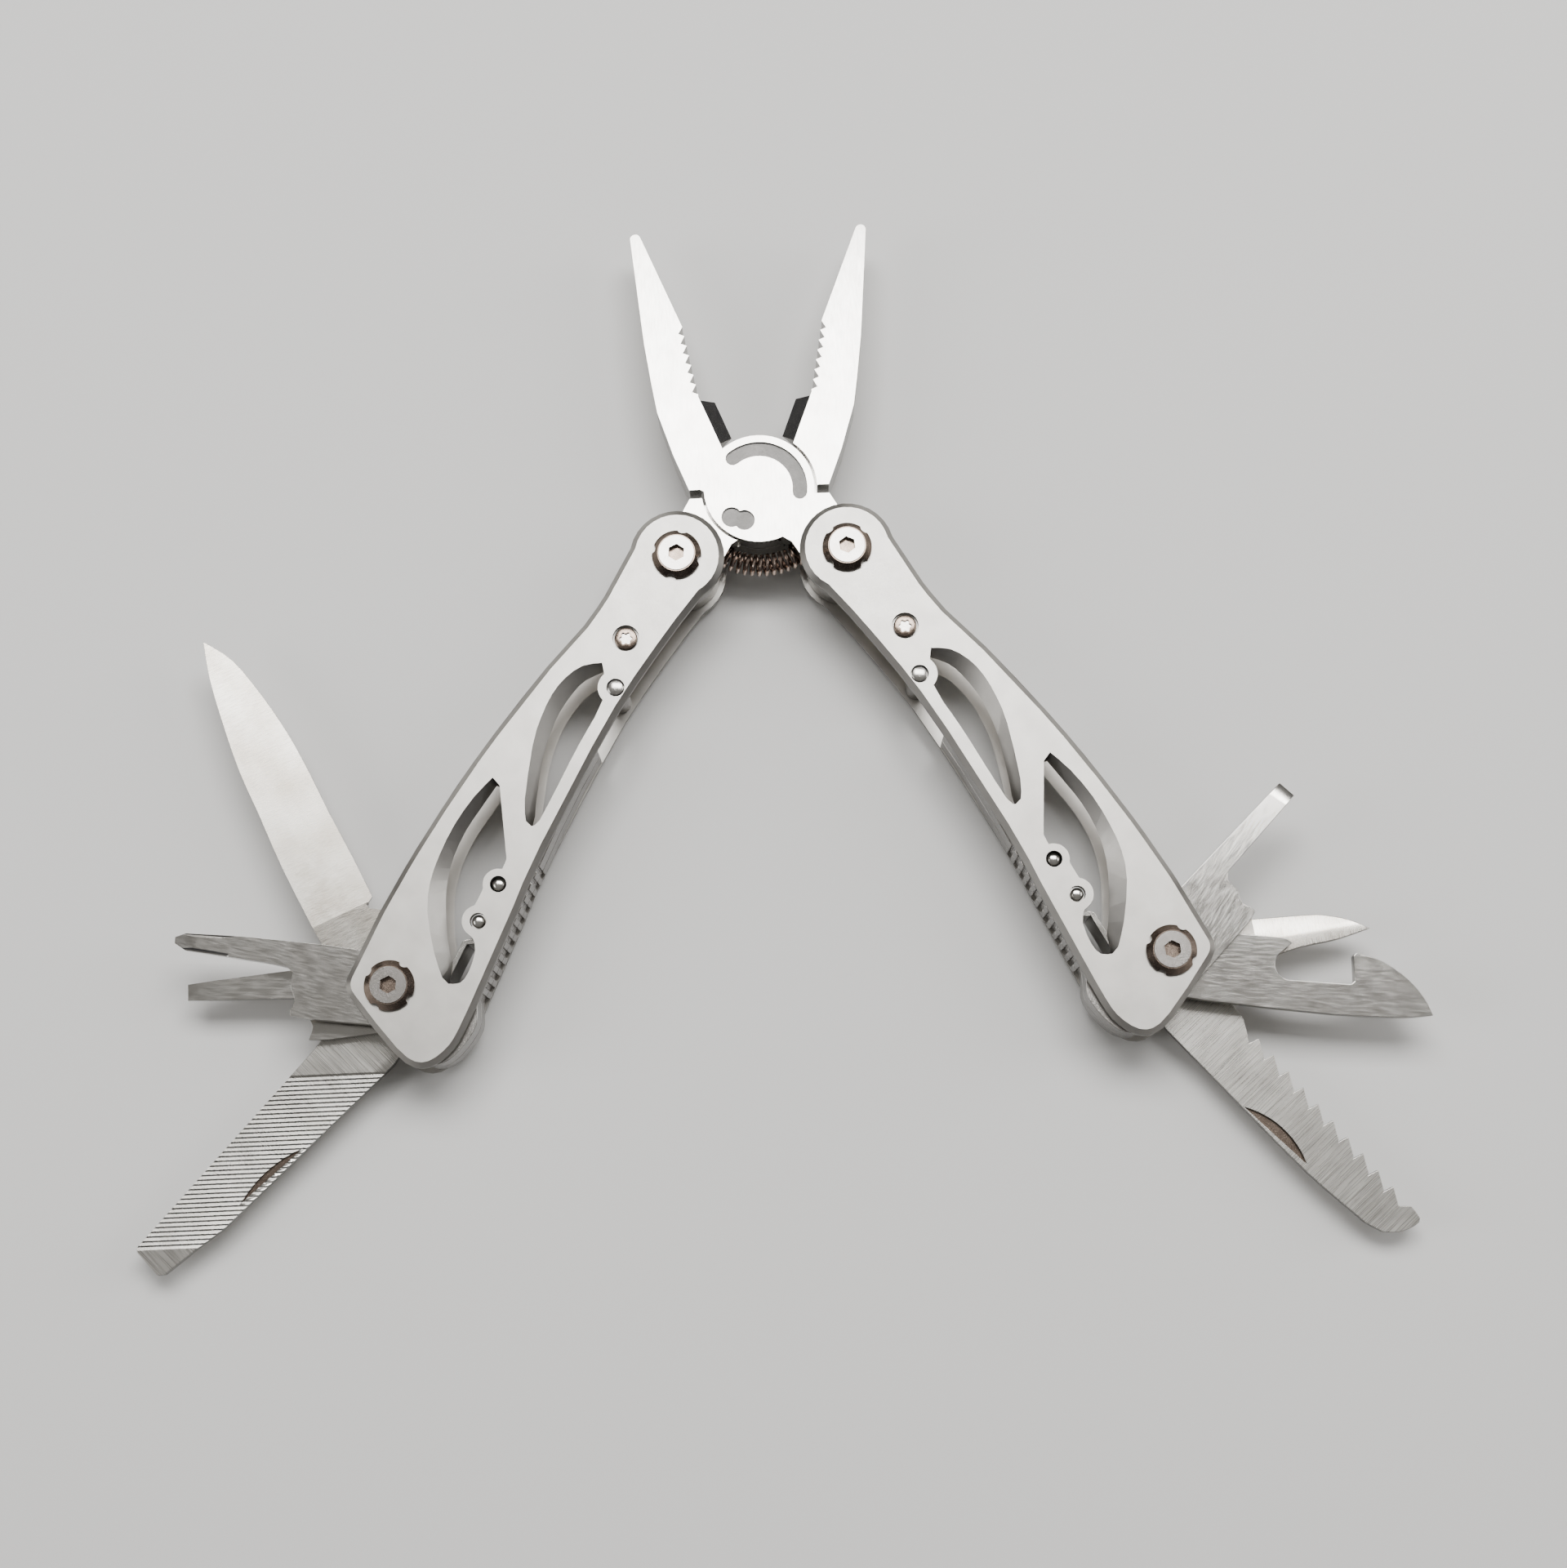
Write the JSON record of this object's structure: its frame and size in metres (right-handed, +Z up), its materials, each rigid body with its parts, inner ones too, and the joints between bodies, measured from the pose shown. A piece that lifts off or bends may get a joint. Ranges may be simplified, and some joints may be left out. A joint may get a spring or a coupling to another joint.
{
  "type": "multi tool",
  "caption": "Spring-loaded plier multi-tool with skeletonised folding handles and fold-out blade, drivers, file, opener and saw, all in stainless steel.",
  "frame": {"origin": "centre of the bounding box in plan, on the plane that the pivot screw heads rest on", "axes": "+Z up out of the front handle plates, +Y towards the jaw tips, +X towards the saw handle; every pivot is parallel to Z"},
  "size_m": [0.2092, 0.1724, 0.0171],
  "materials": {
    "satin_steel": "fine satin, bead blasted",
    "polished_steel": "polished",
    "blade_steel": "polished blade steel with fine grinding lines",
    "brushed_steel": "cross-brushed",
    "hardware_steel": "turned and polished",
    "spring_steel": "dark oiled spring wire"
  },
  "bodies": {
    "front_jaw": {"front_jaw": "polished_steel", "jaw_rivet": "polished_steel", "jaw_spring": "spring_steel"},
    "back_jaw": {"back_jaw": "polished_steel"},
    "left_handle": {"left_front_plate": "satin_steel", "left_back_plate": "satin_steel", "left_lower_pivot_screw": "hardware_steel", "left_lower_pivot_barrel": "hardware_steel", "left_upper_pivot_screw": "hardware_steel", "left_upper_pivot_barrel": "hardware_steel", "left_front_spacer_screw": "hardware_steel", "left_back_spacer_screw": "hardware_steel", "left_spacer_tube": "hardware_steel", "left_plate_rivet": "hardware_steel", "left_lock_pin": "polished_steel", "left_stop_pin": "polished_steel", "left_lock_spring": "polished_steel"},
    "left_front_lock_bar": {"left_front_lock_bar": "hardware_steel"},
    "left_back_lock_bar": {"left_back_lock_bar": "hardware_steel"},
    "left_phillips_driver": {"left_phillips_driver": "polished_steel"},
    "left_knife_blade": {"left_knife_blade": "blade_steel"},
    "left_flat_driver": {"left_flat_driver": "polished_steel"},
    "left_file": {"left_file": "brushed_steel"},
    "right_handle": {"right_front_plate": "satin_steel", "right_back_plate": "satin_steel", "right_lower_pivot_screw": "hardware_steel", "right_lower_pivot_barrel": "hardware_steel", "right_upper_pivot_screw": "hardware_steel", "right_upper_pivot_barrel": "hardware_steel", "right_front_spacer_screw": "hardware_steel", "right_back_spacer_screw": "hardware_steel", "right_spacer_tube": "hardware_steel", "right_plate_rivet": "hardware_steel", "right_lock_pin": "polished_steel", "right_stop_pin": "polished_steel", "right_lock_spring": "polished_steel"},
    "right_front_lock_bar": {"right_front_lock_bar": "hardware_steel"},
    "right_back_lock_bar": {"right_back_lock_bar": "hardware_steel"},
    "right_small_flat_driver": {"right_small_flat_driver": "polished_steel"},
    "right_can_bottle_opener": {"right_can_bottle_opener": "polished_steel"},
    "right_pen_blade": {"right_pen_blade": "blade_steel"},
    "right_saw": {"right_saw": "brushed_steel"}
  },
  "joints": [
    {"name": "jaw_pivot", "type": "hinge", "parent": "front_jaw", "child": "back_jaw", "pos_m": [0.00038, 0.03979, 0.00855], "axis": [0, 0, 1], "range_deg": [0, 43], "stiffness_Nm_per_rad": 0.25, "springref_deg": -5.73, "deforming": ["jaw_spring"]},
    {"name": "left_handle_fold", "type": "hinge", "parent": "back_jaw", "child": "left_handle", "pos_m": [-0.01362, 0.02819, 0.00855], "axis": [0, 0, -1], "range_deg": [0, 140]},
    {"name": "left_front_lock_bar_release", "type": "hinge", "parent": "left_handle", "child": "left_front_lock_bar", "pos_m": [-0.04425, -0.02496, 0.00855], "axis": [0, 0, 1], "range_deg": [0, 3], "stiffness_Nm_per_rad": 0.3, "springref_deg": -1.15},
    {"name": "left_back_lock_bar_release", "type": "hinge", "parent": "left_handle", "child": "left_back_lock_bar", "pos_m": [-0.04425, -0.02496, 0.00855], "axis": [0, 0, 1], "range_deg": [0, 3], "stiffness_Nm_per_rad": 0.3, "springref_deg": -1.15},
    {"name": "left_phillips_driver_fold", "type": "hinge", "parent": "left_handle", "child": "left_phillips_driver", "pos_m": [-0.06192, -0.04053, 0.00855], "axis": [0, 0, 1], "range_deg": [-109, 71]},
    {"name": "left_knife_blade_fold", "type": "hinge", "parent": "left_handle", "child": "left_knife_blade", "pos_m": [-0.06192, -0.04053, 0.00855], "axis": [0, 0, 1], "range_deg": [-58.3, 121.7]},
    {"name": "left_flat_driver_fold", "type": "hinge", "parent": "left_handle", "child": "left_flat_driver", "pos_m": [-0.06192, -0.04053, 0.00855], "axis": [0, 0, 1], "range_deg": [-121, 59]},
    {"name": "left_file_fold", "type": "hinge", "parent": "left_handle", "child": "left_file", "pos_m": [-0.06192, -0.04053, 0.00855], "axis": [0, 0, 1], "range_deg": [-168, 12]},
    {"name": "right_handle_fold", "type": "hinge", "parent": "front_jaw", "child": "right_handle", "pos_m": [0.01438, 0.02819, 0.00855], "axis": [0, 0, 1], "range_deg": [0, 140]},
    {"name": "right_front_lock_bar_release", "type": "hinge", "parent": "right_handle", "child": "right_front_lock_bar", "pos_m": [0.04502, -0.02496, 0.00855], "axis": [0, 0, -1], "range_deg": [0, 3], "stiffness_Nm_per_rad": 0.3, "springref_deg": -1.15},
    {"name": "right_back_lock_bar_release", "type": "hinge", "parent": "right_handle", "child": "right_back_lock_bar", "pos_m": [0.04502, -0.02496, 0.00855], "axis": [0, 0, -1], "range_deg": [0, 3], "stiffness_Nm_per_rad": 0.3, "springref_deg": -1.15},
    {"name": "right_small_flat_driver_fold", "type": "hinge", "parent": "right_handle", "child": "right_small_flat_driver", "pos_m": [0.06269, -0.04053, 0.00855], "axis": [0, 0, -1], "range_deg": [-73, 107]},
    {"name": "right_can_bottle_opener_fold", "type": "hinge", "parent": "right_handle", "child": "right_can_bottle_opener", "pos_m": [0.06269, -0.04053, 0.00855], "axis": [0, 0, -1], "range_deg": [-130, 50]},
    {"name": "right_pen_blade_fold", "type": "hinge", "parent": "right_handle", "child": "right_pen_blade", "pos_m": [0.06269, -0.04053, 0.00855], "axis": [0, 0, -1], "range_deg": [-118.4, 61.6]},
    {"name": "right_saw_fold", "type": "hinge", "parent": "right_handle", "child": "right_saw", "pos_m": [0.06269, -0.04053, 0.00855], "axis": [0, 0, -1], "range_deg": [-174.8, 5.2]}
  ]
}
